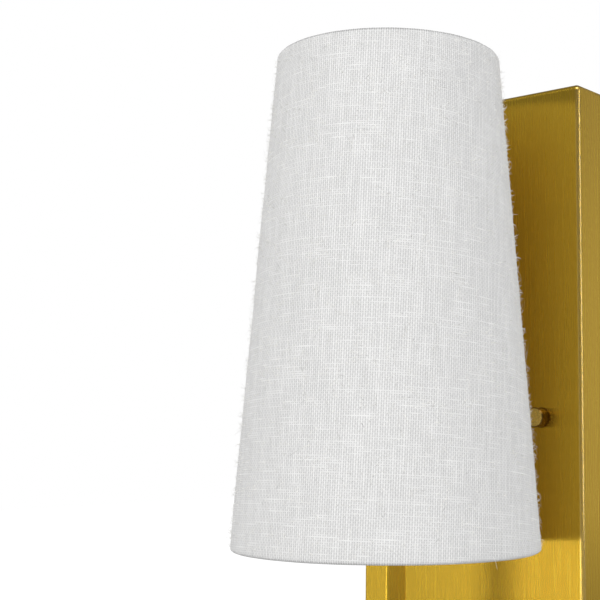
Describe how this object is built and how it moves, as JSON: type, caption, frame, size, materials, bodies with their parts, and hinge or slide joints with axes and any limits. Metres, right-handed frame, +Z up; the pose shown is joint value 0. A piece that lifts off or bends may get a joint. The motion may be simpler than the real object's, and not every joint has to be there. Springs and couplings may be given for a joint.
{
  "type": "wall light",
  "caption": "Wall light with a tapered linen shade on a square brass arm that stands out from a tall rectangular back plate held by two small round knobs.",
  "frame": {"origin": "on the wall plane, midway between the two screws of the junction box, behind the two knobs", "axes": "+Y into the wall (the room is -Y), +Z up, +X to the right seen from the room"},
  "size_m": [0.1394, 0.1713, 0.3275],
  "materials": {
    "satin_brass": "satin, brushed along its height",
    "knob_brass": "turned, half bright",
    "zinc_steel": "zinc plated",
    "green_screw": "green, half gloss",
    "copper": "bare copper lug",
    "nipple_steel": "yellow zinc plated",
    "linen": "white linen, loose plain weave with slubs",
    "liner": "white translucent styrene sheet",
    "white_wire": "white, half gloss",
    "socket_plastic": "white thermoplastic",
    "shell_brass": "plain, half bright",
    "black_insulation": "smooth",
    "white_insulation": "smooth",
    "green_insulation": "smooth",
    "nut_plastic": "orange, ribbed look left to the visual model",
    "bulb_metal": "bright",
    "bulb_black": "smooth",
    "bulb_body": "smooth white",
    "bulb_opal": "frosted opal",
    "board": "white coated board",
    "chip": "yellow phosphor"
  },
  "bodies": {
    "wall_strap": {"wall_strap": "zinc_steel", "swivel_rivet": "zinc_steel"},
    "cross_strap": {"cross_strap": "zinc_steel", "studs": "zinc_steel", "stud_nuts": "zinc_steel", "ground_screw": "green_screw"},
    "fixture": {"backplate": "satin_brass", "arm_tube": "satin_brass", "column_tube": "satin_brass", "arm_plug": "satin_brass", "arm_nipple": "nipple_steel", "arm_backing_plate": "zinc_steel", "ground_lug": "copper", "arm_nut": "nipple_steel", "column_plug": "satin_brass", "socket_nipple": "nipple_steel", "socket_cup": "satin_brass", "socket_cap": "socket_plastic", "socket_body": "socket_plastic", "socket_terminals": "shell_brass", "screw_shell": "shell_brass", "centre_contact": "shell_brass", "lead_black": "black_insulation", "lead_white": "white_insulation", "lead_ground": "green_insulation", "wire_nuts": "nut_plastic"},
    "knob_washer_left": {"knob_washer_left": "knob_brass"},
    "knob_left": {"knob_left": "knob_brass"},
    "knob_washer_right": {"knob_washer_right": "knob_brass"},
    "knob_right": {"knob_right": "knob_brass"},
    "shade": {"shade_fabric": "linen", "shade_liner": "liner", "shade_wire_top": "white_wire", "shade_wire_bottom": "white_wire", "fitter_hub": "white_wire", "fitter_spokes": "white_wire"},
    "shade_ring": {"shade_ring": "socket_plastic"},
    "bulb": {"bulb_contact": "bulb_metal", "bulb_insulator": "bulb_black", "bulb_cap": "bulb_metal", "bulb_housing": "bulb_body", "bulb_dome": "bulb_opal", "led_board": "board", "led_chips": "chip"}
  },
  "joints": [
    {"name": "bracket_swivel", "type": "hinge", "parent": "wall_strap", "child": "cross_strap", "pos_m": [0, 0, 0], "axis": [0, -1, 0], "range_deg": [-20, 20]},
    {"name": "plate_off", "type": "slide", "parent": "cross_strap", "child": "fixture", "axis": [0, -1, 0], "range_m": [0, 0.06]},
    {"name": "knob_left_travel", "type": "slide", "parent": "fixture", "child": "knob_washer_left", "axis": [0, -1, 0], "range_m": [0, 0.00476]},
    {"name": "knob_left_turn", "type": "hinge", "parent": "knob_washer_left", "child": "knob_left", "pos_m": [-0.03492, -0.03, 0], "axis": [0, -1, 0], "range_deg": [0, 2160]},
    {"name": "knob_right_travel", "type": "slide", "parent": "fixture", "child": "knob_washer_right", "axis": [0, -1, 0], "range_m": [0, 0.00476]},
    {"name": "knob_right_turn", "type": "hinge", "parent": "knob_washer_right", "child": "knob_right", "pos_m": [0.03492, -0.03, 0], "axis": [0, -1, 0], "range_deg": [0, 2160]},
    {"name": "shade_turn", "type": "hinge", "parent": "fixture", "child": "shade", "pos_m": [0, -0.1016, 0], "axis": [0, 0, 1], "continuous": true},
    {"name": "ring_turn", "type": "hinge", "parent": "fixture", "child": "shade_ring", "pos_m": [0, -0.1016, 0], "axis": [0, 0, 1], "range_deg": [0, 1080]},
    {"name": "bulb_out", "type": "slide", "parent": "fixture", "child": "bulb", "axis": [0, 0, 1], "range_m": [0, 0.19]}
  ],
  "couplings": [
    {"joint": "knob_left_turn", "follows": "knob_left_travel", "rad_per_m": 7914.9},
    {"joint": "knob_right_turn", "follows": "knob_right_travel", "rad_per_m": 7914.9}
  ]
}
